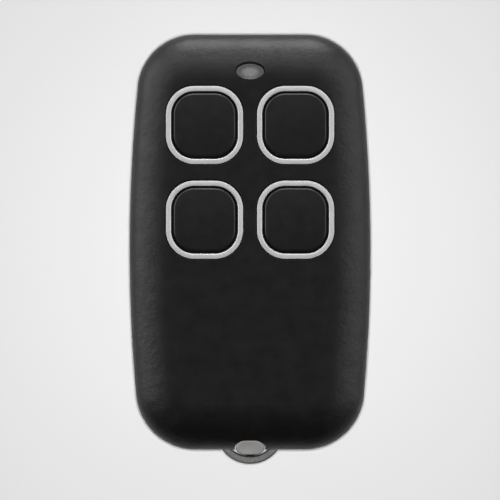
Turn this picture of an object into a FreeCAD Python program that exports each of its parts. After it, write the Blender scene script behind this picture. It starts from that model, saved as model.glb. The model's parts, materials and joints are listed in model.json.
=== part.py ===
"""Four-button gate remote control, in millimetres.

The remote lies on its back on z = 0 with its buttons facing +Z.
+Y runs towards the signal light and -Y towards the key ring.
The origin is the middle of the flat back.
"""
import FreeCAD
import Part
import math
import os

V = FreeCAD.Vector

# Case: outline, thickness and edges
case_length = 65.0
case_width = 37.75
case_thickness = 12.6
wall = 1.6
side_arc_radius = 257.0
widest_below_middle = 1.07
top_corner_radius = 8.95
bottom_corner_radius = 9.35
front_edge_width = 7.0
front_edge_depth = 4.2
back_edge_radius = 4.5
parting_z = 5.6
lip_height = 1.1
lip_clearance = 0.1

# Buttons: four caps, each in its own silver trim
button_pitch_x = 14.26
button_pitch_y = 14.83
buttons_below_top = 21.53
button_travel = 0.3
trim_width = 12.15
trim_height = 12.3
trim_corner_radius = 4.5
trim_band = 0.86
trim_proud = 0.15
trim_seat_depth = 1.1
trim_gap = 0.12
trim_edge_bevel = 0.2
cap_gap = 0.38
cap_proud = 0.3
cap_edge_radius = 0.35
cap_plate = 1.3
cap_skirt = 0.9
cap_flange_reach = 0.75
cap_flange_thickness = 0.7
cap_stop_gap = 0.2
cap_guide_clearance = 0.14
cap_flange_clearance = 0.25
cap_foot_radius = 1.5

# Signal light: window, light pipe and lamp
light_below_top = 5.65
light_hole_length = 4.5
light_hole_height = 2.8
light_flare_depth = 0.7
light_flare_slope = 0.12
light_fit = 0.06
light_top_gap = 0.36
light_recess = 0.1
light_dome = 0.2
light_flange_reach = 0.6
light_flange_thickness = 0.8
light_collar_wall = 0.9
light_gap = 0.3
lamp_length = 3.2
lamp_width = 2.8
lamp_height = 1.9
lamp_cup_radius = 1.0
lamp_cup_depth = 0.4

# Key ring, its post and the pocket that it swings in
post_inset = 0.27
pin_radius = 1.1
pin_play = 0.17
post_head_length = 4.66
post_head_width = 2.24
post_head_proud = 0.15
post_head_bevel = 0.3
post_fit = 0.1
tongue_width = 3.4
tongue_thickness = 1.2
tongue_length = 5.2
peg_from_pin = 3.6
peg_radius = 0.55
peg_fit = 0.1
ring_outer_radius = 5.38
ring_wire_width = 1.27
ring_wire_thickness = 0.8
ring_wire_corner = 0.25
ring_turn_gap = 0.08
ring_ramp_angle = 40.0
ring_ramp_at = 75.0
ring_clearance = 0.3
pocket_wall = 1.0
post_block_width = 6.6
pocket_rib = 1.0
pocket_rib_pitch = 2.65

# Circuit board and what sits under it
floor_gap = 0.25
board_thickness = 1.0
board_side_gap = 0.8
board_pocket_gap = 0.4
cell_diameter = 20.0
cell_thickness = 3.2
cell_cap_diameter = 17.8
cell_step = 0.7
cell_pocket_gap = 1.2
cradle_fit = 0.25
cradle_wall = 1.0
cradle_width = 15.0
cradle_top_gap = 0.6
strap_thickness = 0.25
strap_width = 5.0
strap_fit = 0.4
strap_foot = 1.6
contact_thickness = 0.2
contact_side = 8.0

# Screws, from the back into bosses in the front shell
top_screw_from_side = 8.6
top_screw_from_end = 6.2
bottom_screw_from_side = 7.3
bottom_screw_from_end = 10.0
screw_radius = 1.0
screw_length = 8.0
screw_head_radius = 1.9
screw_head_height = 1.3
screw_recess_depth = 2.0
screw_fit = 0.2
pilot_fit = 0.05
boss_wall = 1.1
cross_length = 2.2
cross_width = 0.5
cross_depth = 0.8

# Tactile switches
switch_side = 6.2
switch_housing_height = 1.8
switch_floor = 0.6
switch_cavity_radius = 2.5
switch_cover_thickness = 0.2
switch_cover_margin = 0.1
plunger_radius = 1.6
plunger_rise = 0.8
plunger_flange_fit = 0.3
plunger_fit = 0.12
plunger_top_play = 0.05
dome_fit = 0.2
dome_height = 0.4
dome_thickness = 0.08
terminal_width = 0.7
terminal_length = 1.2
terminal_thickness = 0.2
terminal_pitch = 4.5

# Parts on the front of the board
antenna_from_edge = 0.3
antenna_width = 0.55
antenna_thickness = 0.1
antenna_below_top = 38.5
chip_from_middle = 6.5
chip_below_switches = 13.0
chip_length = 5.0
chip_width = 4.0
chip_height = 1.5
chip_legs_per_side = 4
chip_leg_pitch = 1.27
chip_leg_width = 0.4
chip_leg_reach = 1.0
chip_leg_thickness = 0.2
crystal_from_middle = 4.7
crystal_below_switches = 17.0
crystal_length = 10.5
crystal_width = 4.3
crystal_height = 2.8
crystal_base = 0.5
radio_below_switches = 10.0
transistor_from_middle = 3.0
transistor_length = 2.9
transistor_width = 1.6
transistor_height = 1.0
coil_from_middle = 9.5
coil_length = 2.6
coil_width = 2.0
coil_height = 1.8
capacitor_length = 1.6
capacitor_width = 0.8
capacitor_height = 0.8
capacitor_pitch = 2.2
capacitors_from_middle = 1.9
capacitors_by_lamp = 4.5
resistor_length = 1.6
resistor_width = 0.8
resistor_height = 0.45
resistor_pitch = 1.4

# Depth by which a cutting shape runs past the face that it opens
overrun = 1.0

# Places that follow from the sizes above
top_y = case_length / 2
bottom_y = -case_length / 2
front_z = case_thickness
ceiling_z = case_thickness - wall
strap_bottom = wall + floor_gap
cell_bottom = strap_bottom + strap_thickness
cell_top = cell_bottom + cell_thickness
board_bottom = cell_top + contact_thickness
board_top = board_bottom + board_thickness
switch_cover_bottom = board_top + switch_housing_height
switch_top = switch_cover_bottom + switch_cover_thickness
plunger_top = switch_top + plunger_rise
trim_seat_z = front_z - trim_seat_depth
trim_top = front_z + trim_proud
cap_top = front_z + cap_proud
flange_top = ceiling_z - cap_stop_gap
flange_bottom = flange_top - cap_flange_thickness
cap_width = trim_width - 2 * trim_band - 2 * cap_gap
cap_height = trim_height - 2 * trim_band - 2 * cap_gap
cap_corner_radius = trim_corner_radius - trim_band - cap_gap
post_y = bottom_y + post_inset
light_y = top_y - light_below_top
lamp_top = board_top + lamp_height
stem_bottom = lamp_top + light_gap
collar_bottom = stem_bottom + light_flange_thickness
cavity_floor = board_top + switch_floor
dome_radius = switch_cavity_radius - dome_fit
plunger_flange_radius = switch_cavity_radius - plunger_flange_fit
ring_inner_radius = ring_outer_radius - ring_wire_width
ring_offset = ring_inner_radius - pin_radius - pin_play
ring_y = post_y + ring_offset
ring_thickness = 2 * ring_wire_thickness + ring_turn_gap
ring_bottom = parting_z - ring_thickness / 2
slot_bottom = ring_bottom - ring_clearance
slot_top = ring_bottom + ring_thickness + ring_clearance
pocket_radius = ring_offset + ring_outer_radius + ring_clearance
pocket_outer = pocket_radius + pocket_wall
cell_y = post_y + pocket_outer + cell_pocket_gap + cell_diameter / 2
buttons_y = top_y - buttons_below_top
upper_row_y = buttons_y + button_pitch_y / 2
lower_row_y = buttons_y - button_pitch_y / 2
column_x = button_pitch_x / 2
chip_y = lower_row_y - chip_below_switches
crystal_y = lower_row_y - crystal_below_switches
radio_y = lower_row_y - radio_below_switches

BUTTONS = {
    "top_left": (-column_x, upper_row_y),
    "top_right": (column_x, upper_row_y),
    "bottom_left": (-column_x, lower_row_y),
    "bottom_right": (column_x, lower_row_y),
}
top_screw_x = case_width / 2 - top_screw_from_side
top_screw_y = top_y - top_screw_from_end
bottom_screw_x = case_width / 2 - bottom_screw_from_side
bottom_screw_y = bottom_y + bottom_screw_from_end
SCREWS = [
    (-top_screw_x, top_screw_y),
    (top_screw_x, top_screw_y),
    (-bottom_screw_x, bottom_screw_y),
    (bottom_screw_x, bottom_screw_y),
]


def box(x_size, y_size, z_low, z_high, x=0.0, y=0.0):
    """A block centred on (x, y)."""
    corner = V(x - x_size / 2, y - y_size / 2, z_low)
    return Part.makeBox(x_size, y_size, z_high - z_low, corner)


def cylinder(radius, z_low, z_high, x=0.0, y=0.0):
    return Part.makeCylinder(radius, z_high - z_low, V(x, y, z_low))


def ellipse_wire(length, height, z, y):
    """A level oval on the middle line, long axis along X."""
    return Part.Wire(Part.Ellipse(V(0, y, z), length / 2, height / 2).toShape())


def ellipse_prism(length, height, z_low, z_high, y):
    face = Part.Face(ellipse_wire(length, height, z_low, y))
    return face.extrude(V(0, 0, z_high - z_low))


def rounded_prism(width, height, radius, z_low, z_high, x, y):
    """An upright column with a rounded rectangle for its section."""
    block = box(width, height, z_low, z_high, x, y)
    upright = [e for e in block.Edges if e.BoundBox.ZLength > (z_high - z_low) / 2]
    return block.makeFillet(radius, upright)


def carve(solid, tools):
    """Cut the tools out one after another."""
    for tool in tools:
        solid = solid.cut(tool)
    return solid


def edges_at(solid, z):
    """The edges of a solid that lie in one level plane."""
    near = 1e-4
    found = []
    for edge in solid.Edges:
        bounds = edge.BoundBox
        if abs(bounds.ZMin - z) < near and abs(bounds.ZMax - z) < near:
            found.append(edge)
    return found


def fuse(shapes):
    joined = shapes[0].multiFuse(shapes[1:]) if len(shapes) > 1 else shapes[0]
    return joined.removeSplitter()


def corner_centre(end_y, radius):
    """Centre of the corner arc that touches a straight end and the bowed side."""
    side_x = case_width / 2 - side_arc_radius
    y = end_y - math.copysign(radius, end_y)
    rise = y + widest_below_middle
    reach = side_arc_radius - radius
    return V(side_x + math.sqrt(reach * reach - rise * rise), y, 0)


def case_outline(inset, z):
    """The case's plan outline, moved inwards by inset, as one closed wire."""
    side = V(case_width / 2 - side_arc_radius, -widest_below_middle, 0)
    corners = []
    for end_y, radius in (
        (case_length / 2, top_corner_radius),
        (-case_length / 2, bottom_corner_radius),
    ):
        centre = corner_centre(end_y, radius)
        away = (centre - side).normalize()
        end_way = V(0, math.copysign(1, end_y), 0)
        middle_way = (away + end_way).normalize()
        arc_radius = radius - inset
        corners.append([centre + w * arc_radius for w in (end_way, middle_way, away)])
    widest = side + V(side_arc_radius - inset, 0, 0)
    top, bottom = corners

    def place(point, mirror):
        return V(-point.x if mirror else point.x, point.y, z)

    edges = []
    for mirror in (False, True):
        top_end, top_middle, top_side = [place(p, mirror) for p in top]
        low_end, low_middle, low_side = [place(p, mirror) for p in bottom]
        edges.append(Part.Arc(top_end, top_middle, top_side).toShape())
        edges.append(Part.Arc(top_side, place(widest, mirror), low_side).toShape())
        edges.append(Part.Arc(low_side, low_middle, low_end).toShape())
    for end in (top[0], bottom[0]):
        edges.append(Part.makeLine(place(end, False), place(end, True)))
    return Part.Wire(Part.__sortEdges__(edges))


def case_prism(inset, z_low, z_high):
    face = Part.Face(case_outline(inset, z_low))
    return face.extrude(V(0, 0, z_high - z_low))


def front_edge_room(inset):
    """The space outside the front edge: a quarter oval's corner, swept round the outline."""
    width = front_edge_width - inset
    depth = front_edge_depth - inset
    high = case_thickness - inset
    start_x = corner_centre(top_y, top_corner_radius).x
    centre = V(start_x, top_y - front_edge_width, high - depth)
    side = centre + V(0, width, 0)
    crown = centre + V(0, 0, depth)
    out = V(0, overrun, 0)
    up = V(0, 0, overrun)
    oval = Part.Ellipse(side, crown, centre)
    quarter = Part.ArcOfEllipse(oval, 0, math.pi / 2).toShape()
    corner = V(start_x, side.y, crown.z) + out + up
    rest = Part.makePolygon([crown, crown + up, corner, side + out, side])
    sweep = Part.BRepOffsetAPI.MakePipeShell(case_outline(inset, high))
    sweep.setBiNormalMode(V(0, 0, 1))
    sweep.add(Part.Wire([quarter] + rest.Edges))
    sweep.build()
    sweep.makeSolid()
    return sweep.shape()


def case_form(inset):
    """The whole case as a solid pebble, every face moved inwards by inset."""
    form = case_prism(inset, inset, case_thickness - inset)
    form = form.makeFillet(back_edge_radius - inset, edges_at(form, inset))
    return form.cut(front_edge_room(inset))


def front_surface_z(inset):
    """Height of the oval front edge at a distance inside the outline."""
    run = (front_edge_width - inset) / front_edge_width
    return front_z - front_edge_depth * (1 - math.sqrt(1 - run**2))


def back_surface_z(inset):
    """Height of the rounded back edge at a distance inside the outline."""
    run = back_edge_radius - inset
    return back_edge_radius - math.sqrt(back_edge_radius**2 - run**2)


lens_top = front_surface_z(light_below_top - light_hole_height / 2) - light_recess
head_inner_inset = post_inset + post_head_width / 2
head_top_z = front_surface_z(head_inner_inset) + post_head_proud
foot_bottom_z = back_surface_z(head_inner_inset) - post_head_proud


def pocket_frame(z_low, z_high):
    """Ribs, post block and curved rear wall of the key ring's pocket, in one shell half."""
    inner = cylinder(pocket_radius, z_low, z_high, 0, post_y)
    outer = cylinder(pocket_outer, z_low, z_high, 0, post_y)
    pieces = [outer.cut(inner)]
    depth = 2 * pocket_radius + pocket_wall
    block = box(post_block_width, depth, z_low, z_high, 0, post_y)
    pieces.append(block.common(outer))
    first = post_block_width / 2 + pocket_rib_pitch - pocket_rib / 2
    count = int((pocket_radius - first) / pocket_rib_pitch) + 1
    for i in range(count):
        for side in (-1, 1):
            x = side * (first + i * pocket_rib_pitch)
            rib = box(pocket_rib, depth, z_low, z_high, x, post_y)
            pieces.append(rib.common(outer))
    return fuse(pieces)


def post_room(z_low, z_high):
    """The hole for one oval end of the key ring's post."""
    length = post_head_length + 2 * post_fit
    height = post_head_width + 2 * post_fit
    return ellipse_prism(length, height, z_low, z_high, post_y)


def tongue(z_low, z_high, grow):
    """The flat tongue behind the post, or with grow its recess in a shell."""
    width = tongue_width + 2 * grow
    straight = tongue_length - tongue_width / 2
    strip = box(width, straight, z_low, z_high, 0, post_y + straight / 2)
    tip = cylinder(width / 2, z_low, z_high, 0, post_y + straight)
    return strip.fuse(tip)


def peg(z_low, z_high, grow):
    """The moulded peg that keys a tongue to its shell, or with grow the hole for it."""
    return cylinder(peg_radius + grow, z_low, z_high, 0, post_y + peg_from_pin)


def slot_room():
    """The level disc that the key ring sweeps, with its clearance."""
    return cylinder(pocket_radius, slot_bottom, slot_top, 0, post_y)


def back_shell():
    """The back half: outer form less a cavity that leaves the bosses and ribs standing."""
    shell = case_form(0).common(case_prism(0, 0, parting_z))
    standing = [pocket_frame(0, parting_z)]
    foot_radius = screw_head_radius + screw_fit + boss_wall
    boss_radius = screw_radius + screw_fit + boss_wall
    for x, y in SCREWS:
        standing.append(cylinder(foot_radius, 0, screw_recess_depth + boss_wall, x, y))
        standing.append(cylinder(boss_radius, 0, board_bottom, x, y))
    cradle_inner = cell_diameter / 2 + cradle_fit
    cradle_top = board_bottom - cradle_top_gap
    cradle = cylinder(cradle_inner + cradle_wall, 0, cradle_top, 0, cell_y)
    cradle = cradle.cut(cylinder(cradle_inner, 0, cradle_top, 0, cell_y))
    ends = box(cradle_width, 3 * cell_diameter, 0, cradle_top, 0, cell_y)
    standing.append(cradle.common(ends))
    shell = shell.cut(carve(case_form(wall), standing))
    lip_low = parting_z - lip_height
    lip_high = parting_z + lip_height
    lip = case_prism(wall / 2 + lip_clearance, lip_low, lip_high)
    lip = lip.cut(case_prism(wall, lip_low, lip_high))
    lip_end = cylinder(pocket_outer + lip_clearance, parting_z, lip_high, 0, post_y)
    shell = shell.fuse(lip.cut(lip_end))
    tongue_seat = slot_bottom - tongue_thickness
    cuts = [slot_room(), tongue(tongue_seat, parting_z, post_fit)]
    cuts.append(post_room(-overrun, parting_z))
    recess_radius = screw_head_radius + screw_fit
    for x, y in SCREWS:
        cuts.append(cylinder(recess_radius, -overrun, screw_recess_depth, x, y))
        cuts.append(cylinder(screw_radius + screw_fit, -overrun, board_bottom, x, y))
    shell = carve(shell, cuts)
    return shell.fuse(peg(tongue_seat - wall / 2, slot_bottom, 0)).removeSplitter()


def front_shell():
    """The front half, made the same way, with seats for the buttons and the light."""
    shell = case_form(0).common(case_prism(0, parting_z, front_z))
    standing = [pocket_frame(parting_z, front_z)]
    boss_radius = screw_radius + pilot_fit + boss_wall
    for x, y in SCREWS:
        standing.append(cylinder(boss_radius, board_top, front_z, x, y))
    collar = ellipse_prism(
        light_hole_length + 2 * light_collar_wall,
        light_hole_height + 2 * light_collar_wall,
        collar_bottom,
        front_z,
        light_y,
    )
    standing.append(collar)
    rebate_top = parting_z + lip_height + lip_clearance
    cavity = case_form(wall).fuse(case_prism(wall / 2, parting_z, rebate_top))
    shell = shell.cut(carve(cavity, standing))
    tongue_seat = slot_top + tongue_thickness
    cuts = [slot_room(), tongue(parting_z, tongue_seat, post_fit)]
    cuts.append(post_room(parting_z, front_z + overrun))
    cuts.extend(light_room())
    tip = screw_recess_depth + screw_length
    for x, y in SCREWS:
        cuts.append(cylinder(screw_radius + pilot_fit, board_top, tip + screw_fit, x, y))
    for x, y in BUTTONS.values():
        cuts.extend(button_room(x, y))
    shell = carve(shell, cuts)
    return shell.fuse(peg(slot_top, tongue_seat + wall / 2, 0))


def light_room():
    """Cuts for the light pipe: an oval hole that flares a little towards the front."""
    length = light_hole_length
    height = light_hole_height
    flare_z = front_z - light_flare_depth
    mouth_z = front_z + overrun
    spread = 2 * light_flare_slope * (mouth_z - flare_z)
    low_wire = ellipse_wire(length, height, flare_z, light_y)
    high_wire = ellipse_wire(length + spread, height + spread, mouth_z, light_y)
    flare = Part.makeLoft([low_wire, high_wire], True, True)
    return [ellipse_prism(length, height, collar_bottom, flare_z, light_y), flare]


def button_room(x, y):
    """Cuts for one button: the trim's seat, the cap's hole and the flange's room."""
    seat = rounded_prism(
        trim_width + 2 * trim_gap,
        trim_height + 2 * trim_gap,
        trim_corner_radius + trim_gap,
        trim_seat_z,
        front_z + overrun,
        x,
        y,
    )
    hole = rounded_prism(
        cap_width + 2 * cap_guide_clearance,
        cap_height + 2 * cap_guide_clearance,
        cap_corner_radius + cap_guide_clearance,
        flange_bottom,
        trim_seat_z,
        x,
        y,
    )
    reach = cap_flange_reach + cap_flange_clearance
    flange_room = rounded_prism(
        cap_width + 2 * reach,
        cap_height + 2 * reach,
        cap_corner_radius + reach,
        flange_bottom - button_travel - cap_flange_clearance,
        ceiling_z,
        x,
        y,
    )
    return [seat, hole, flange_room]


def button_trim(x, y):
    """A flat silver frame with both front edges bevelled."""
    outer = rounded_prism(
        trim_width, trim_height, trim_corner_radius, trim_seat_z, trim_top, x, y
    )
    inner = rounded_prism(
        trim_width - 2 * trim_band,
        trim_height - 2 * trim_band,
        trim_corner_radius - trim_band,
        trim_seat_z,
        trim_top,
        x,
        y,
    )
    frame = outer.cut(inner)
    return frame.makeChamfer(trim_edge_bevel, edges_at(frame, trim_top))


def button_cap(x, y):
    """A hollow key cap: face, skirt, retaining flange and the foot that presses the switch."""
    body = rounded_prism(
        cap_width, cap_height, cap_corner_radius, flange_bottom, cap_top, x, y
    )
    body = body.makeFillet(cap_edge_radius, edges_at(body, cap_top))
    flange = rounded_prism(
        cap_width + 2 * cap_flange_reach,
        cap_height + 2 * cap_flange_reach,
        cap_corner_radius + cap_flange_reach,
        flange_bottom,
        flange_top,
        x,
        y,
    )
    hollow = rounded_prism(
        cap_width - 2 * cap_skirt,
        cap_height - 2 * cap_skirt,
        cap_corner_radius - cap_skirt,
        flange_bottom,
        cap_top - cap_plate,
        x,
        y,
    )
    foot = cylinder(cap_foot_radius, plunger_top, cap_top - cap_plate / 2, x, y)
    return body.fuse(flange).cut(hollow).fuse(foot).removeSplitter()


def switch_housing(x, y):
    block = box(switch_side, switch_side, board_top, switch_cover_bottom, x, y)
    cavity = cylinder(switch_cavity_radius, cavity_floor, switch_cover_bottom, x, y)
    return block.cut(cavity)


def switch_cover(x, y):
    side = switch_side - 2 * switch_cover_margin
    plate = box(side, side, switch_cover_bottom, switch_top, x, y)
    hole = cylinder(plunger_radius + plunger_fit, switch_cover_bottom, switch_top, x, y)
    return plate.cut(hole)


def switch_plunger(x, y):
    bottom = cavity_floor + dome_height
    flange = cylinder(
        plunger_flange_radius, bottom, switch_cover_bottom - plunger_top_play, x, y
    )
    stem = cylinder(plunger_radius, bottom, plunger_top, x, y)
    return flange.fuse(stem).removeSplitter()


def switch_dome(x, y):
    """The thin snap disc that lifts the plunger: a shallow spherical cap."""
    sphere = (dome_radius**2 + dome_height**2) / (2 * dome_height)
    top = cavity_floor + dome_height
    centre = V(x, y, top - sphere)
    outer = Part.makeSphere(sphere, centre)
    inner = Part.makeSphere(sphere - dome_thickness, centre)
    side = 2 * dome_radius
    return outer.cut(inner).common(box(side, side, cavity_floor, top, x, y))


def switch_terminals():
    """Four solder tabs on each switch, two on either side."""
    tabs = []
    for x, y in BUTTONS.values():
        for side in (-1, 1):
            for row in (-1, 1):
                tab_x = x + side * (switch_side + terminal_length) / 2
                tab_y = y + row * terminal_pitch / 2
                top = board_top + terminal_thickness
                tabs.append(
                    box(terminal_length, terminal_width, board_top, top, tab_x, tab_y)
                )
    return Part.makeCompound(tabs)


def led_lens():
    """Oval light pipe: a low dome in the window and a flange under the collar."""
    length = light_hole_length - 2 * light_fit
    height = light_hole_height - light_fit - light_top_gap
    lens_y = light_y + (light_fit - light_top_gap) / 2
    stem = ellipse_prism(length, height, stem_bottom, lens_top, lens_y)
    half = length / 2
    sphere = (half**2 + light_dome**2) / (2 * light_dome)
    dome = Part.makeSphere(sphere, V(0, lens_y, lens_top - sphere))
    flange = ellipse_prism(
        light_hole_length + 2 * light_flange_reach,
        light_hole_height + 2 * light_flange_reach,
        stem_bottom,
        collar_bottom,
        light_y,
    )
    return stem.common(dome).fuse(flange).removeSplitter()


def status_lamp():
    """Surface-mount lamp: a block with a cone-shaped cup for the light."""
    body = box(lamp_length, lamp_width, board_top, lamp_top, 0, light_y)
    cup = Part.makeCone(
        lamp_cup_radius - lamp_cup_depth / 2,
        lamp_cup_radius,
        lamp_cup_depth,
        V(0, light_y, lamp_top - lamp_cup_depth),
    )
    return body.cut(cup)


def keyring_post():
    """Round pin with an oval head and foot, and a tongue into each shell."""
    head = ellipse_prism(post_head_length, post_head_width, slot_top, head_top_z, post_y)
    head = head.makeChamfer(post_head_bevel, edges_at(head, head_top_z))
    foot = ellipse_prism(
        post_head_length, post_head_width, foot_bottom_z, slot_bottom, post_y
    )
    foot = foot.makeChamfer(post_head_bevel, edges_at(foot, foot_bottom_z))
    pin = cylinder(pin_radius, slot_bottom, slot_top, 0, post_y)
    pieces = [head, foot, pin]
    for z_low in (slot_top, slot_bottom - tongue_thickness):
        z_high = z_low + tongue_thickness
        pieces.append(tongue(z_low, z_high, 0).cut(peg(z_low, z_high, peg_fit)))
    return fuse(pieces)


def wire_section(angle, z_low):
    """The ring's flat wire cut across: a rounded rectangle in the upright plane at angle."""
    turn = math.radians(angle)
    out = V(math.cos(turn), math.sin(turn), 0)
    corner = ring_wire_corner
    diagonal = corner * (1 - math.sqrt(0.5))
    low = z_low
    high = z_low + ring_wire_thickness

    def at(radius, z):
        return out * radius + V(0, ring_y, z)

    near = ring_inner_radius
    far = ring_outer_radius
    stops = [
        (near + corner, low),
        (far - corner, low),
        (far - diagonal, low + diagonal),
        (far, low + corner),
        (far, high - corner),
        (far - diagonal, high - diagonal),
        (far - corner, high),
        (near + corner, high),
        (near + diagonal, high - diagonal),
        (near, high - corner),
        (near, low + corner),
        (near + diagonal, low + diagonal),
    ]
    points = [at(radius, z) for radius, z in stops]
    points.append(points[0])
    edges = []
    for i in range(0, 12, 3):
        edges.append(Part.makeLine(points[i], points[i + 1]))
        edges.append(Part.Arc(points[i + 1], points[i + 2], points[i + 3]).toShape())
    return Part.Wire(edges)


def split_ring():
    """Two turns of flat wire, the upper one ramping down into the lower one."""
    lower = ring_bottom
    upper = ring_bottom + ring_wire_thickness + ring_turn_gap
    start = ring_ramp_at + ring_ramp_angle / 2
    sweep = 360 - ring_ramp_angle
    turns = []
    for z_low in (lower, upper):
        face = Part.Face(wire_section(start, z_low))
        turns.append(face.revolve(V(0, ring_y, 0), V(0, 0, 1), sweep))
    steps = 8
    sections = []
    for i in range(steps + 1):
        share = i / steps
        smooth = share * share * (3 - 2 * share)
        angle = start - ring_ramp_angle * (1 - share)
        sections.append(wire_section(angle, upper + (lower - upper) * smooth))
    ramp = Part.makeLoft(sections, True, True)
    return fuse(turns + [ramp])


def case_screws():
    """Four pan-head screws, heads down in the back, each with a cross recess."""
    screws = []
    for x, y in SCREWS:
        head_low = screw_recess_depth - screw_head_height
        head = cylinder(screw_head_radius, head_low, screw_recess_depth, x, y)
        head = head.makeFillet(screw_head_height / 2, edges_at(head, head_low))
        shank = cylinder(screw_radius, screw_recess_depth, screw_recess_depth + screw_length, x, y)
        slot_high = head_low + cross_depth
        cross = box(cross_length, cross_width, head_low, slot_high, x, y)
        cross = cross.fuse(box(cross_width, cross_length, head_low, slot_high, x, y))
        screws.append(head.fuse(shank).cut(cross).removeSplitter())
    return Part.makeCompound(screws)


def circuit_board():
    board = case_prism(wall + board_side_gap, board_bottom, board_top)
    bay_radius = pocket_outer + board_pocket_gap
    holes = [cylinder(bay_radius, board_bottom, board_top, 0, post_y)]
    for x, y in SCREWS:
        holes.append(cylinder(screw_radius + screw_fit, board_bottom, board_top, x, y))
    return carve(board, holes)


def antenna_trace():
    """Copper loop that follows the board's upper edge."""
    outer = wall + board_side_gap + antenna_from_edge
    top = board_top + antenna_thickness
    band = case_prism(outer, board_top, top)
    band = band.cut(case_prism(outer + antenna_width, board_top, top))
    end_y = top_y - antenna_below_top
    upper_part = box(
        case_width, top_y - end_y, board_top, top, 0, (top_y + end_y) / 2
    )
    return band.common(upper_part)


def coin_cell():
    can_top = cell_top - cell_step
    can = cylinder(cell_diameter / 2, cell_bottom, can_top, 0, cell_y)
    rims = edges_at(can, cell_bottom) + edges_at(can, can_top)
    can = can.makeFillet(cell_step / 2, rims)
    cap = cylinder(cell_cap_diameter / 2, cell_bottom + cell_step, cell_top, 0, cell_y)
    cap = cap.makeFillet(cell_step / 4, edges_at(cap, cell_top))
    return can.fuse(cap).removeSplitter()


def battery_strap():
    """Positive spring strap: it spans the cell's back and rises to the board."""
    inner = cell_diameter / 2 + strap_fit
    outer = inner + strap_thickness
    bar = box(2 * outer, strap_width, strap_bottom, cell_bottom, 0, cell_y)
    pieces = [bar]
    for side in (-1, 1):
        leg_x = side * (inner + strap_thickness / 2)
        pieces.append(
            box(strap_thickness, strap_width, strap_bottom, board_bottom, leg_x, cell_y)
        )
        foot_x = side * (inner + strap_foot / 2)
        foot_low = board_bottom - strap_thickness
        pieces.append(box(strap_foot, strap_width, foot_low, board_bottom, foot_x, cell_y))
    return fuse(pieces)


def battery_contact():
    return box(contact_side, contact_side, cell_top, board_bottom, 0, cell_y)


def on_board(length, width, height, x, y):
    """A plain block soldered to the front of the board."""
    return box(length, width, board_top, board_top + height, x, y)


def controller_chip():
    underside = board_top + chip_leg_thickness / 2
    top = board_top + chip_height
    body = box(chip_width, chip_length, underside, top, -chip_from_middle, chip_y)
    return body.makeChamfer(chip_leg_thickness, edges_at(body, top))


def gull_wing(side, y):
    """One bent leg: out of the chip's side, down, and out along the board."""
    thick = chip_leg_thickness
    half = chip_leg_reach / 2
    side_x = -chip_from_middle + side * chip_width / 2
    shoulder_z = board_top + chip_height / 2
    bend_x = side_x + side * (half + thick / 2)
    foot_x = bend_x + side * half / 2
    shoulder = box(
        half + thick,
        chip_leg_width,
        shoulder_z,
        shoulder_z + thick,
        side_x + side * (half + thick) / 2,
        y,
    )
    drop = box(thick, chip_leg_width, board_top, shoulder_z + thick, bend_x, y)
    foot = box(half + thick, chip_leg_width, board_top, board_top + thick, foot_x, y)
    return fuse([shoulder, drop, foot])


def controller_legs():
    """Gull-wing legs, a row on either side of the chip."""
    first_y = chip_y - (chip_legs_per_side - 1) * chip_leg_pitch / 2
    legs = []
    for side in (-1, 1):
        for i in range(chip_legs_per_side):
            legs.append(gull_wing(side, first_y + i * chip_leg_pitch))
    return Part.makeCompound(legs)


def crystal_can():
    """Metal resonator can, lengthwise across the board, on its flanged base."""
    x = crystal_from_middle
    rim = crystal_base / 2
    flange_radius = crystal_width / 2 - rim / 2
    base_top = board_top + crystal_base
    top = board_top + crystal_height
    flange = rounded_prism(
        crystal_length, crystal_width, flange_radius, board_top, base_top, x, crystal_y
    )
    can = rounded_prism(
        crystal_length - 2 * rim,
        crystal_width - 2 * rim,
        flange_radius - rim,
        board_top,
        top,
        x,
        crystal_y,
    )
    can = can.makeFillet(crystal_base, edges_at(can, top))
    return flange.fuse(can).removeSplitter()


def radio_transistor():
    return on_board(
        transistor_length,
        transistor_width,
        transistor_height,
        transistor_from_middle,
        radio_y,
    )


def tuning_coil():
    return on_board(coil_length, coil_width, coil_height, coil_from_middle, radio_y)


def chip_capacitors():
    """Ceramic capacitors: a column beside the chip and one on either side of the lamp."""
    blocks = []
    for step in (-1.5, -0.5, 0.5, 1.5):
        blocks.append(
            on_board(
                capacitor_width,
                capacitor_length,
                capacitor_height,
                -capacitors_from_middle,
                chip_y + step * capacitor_pitch,
            )
        )
    for side in (-1, 1):
        blocks.append(
            on_board(
                capacitor_length,
                capacitor_width,
                capacitor_height,
                side * capacitors_by_lamp,
                light_y,
            )
        )
    return Part.makeCompound(blocks)


def chip_resistors():
    """Three resistors between the switches and two between transistor and coil."""
    blocks = []
    for step in (-1, 0, 1):
        x = step * resistor_pitch
        blocks.append(
            on_board(resistor_width, resistor_length, resistor_height, x, buttons_y)
        )
    x = (transistor_from_middle + coil_from_middle) / 2
    for step in (-0.5, 0.5):
        y = radio_y + step * resistor_pitch
        blocks.append(
            on_board(resistor_length, resistor_width, resistor_height, x, y)
        )
    return Part.makeCompound(blocks)


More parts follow.
